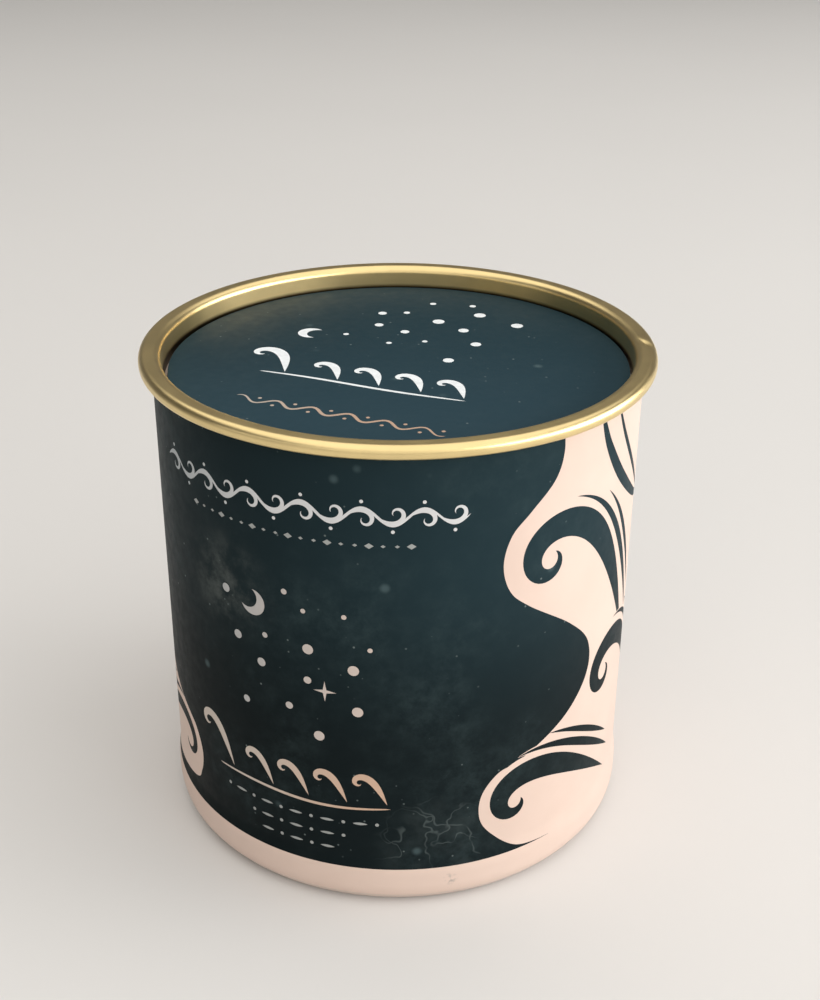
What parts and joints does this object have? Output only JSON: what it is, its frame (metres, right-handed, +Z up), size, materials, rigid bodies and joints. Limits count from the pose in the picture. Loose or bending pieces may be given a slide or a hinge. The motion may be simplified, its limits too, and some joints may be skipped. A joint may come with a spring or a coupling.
{
  "type": "gelato cup",
  "caption": "Shut gelato cup: a straight paperboard tub with a printed wrap label, closed by a gold rolled metal end with a recessed round lid label.",
  "frame": {"origin": "centre of the ring that the tub stands on, at floor level", "axes": "+Z up along the tub's axis, -Y towards the viewer of the print's front, +X to that viewer's right"},
  "size_m": [0.1042, 0.1042, 0.104],
  "materials": {
    "cream_board": "smooth cream paperboard, matt",
    "printed_wrap": "dark petrol night print with cream shapes on cream paper, satin varnish",
    "gold_lacquer": "satin gold lacquer on thin steel",
    "printed_lid": "petrol night print with pale dots, satin varnish"
  },
  "bodies": {
    "root": {"tub_body": "cream_board", "foot_ring": "cream_board", "base_disc": "cream_board", "wrap_label": "printed_wrap", "metal_end": "gold_lacquer", "lid_label": "printed_lid"}
  },
  "joints": []
}
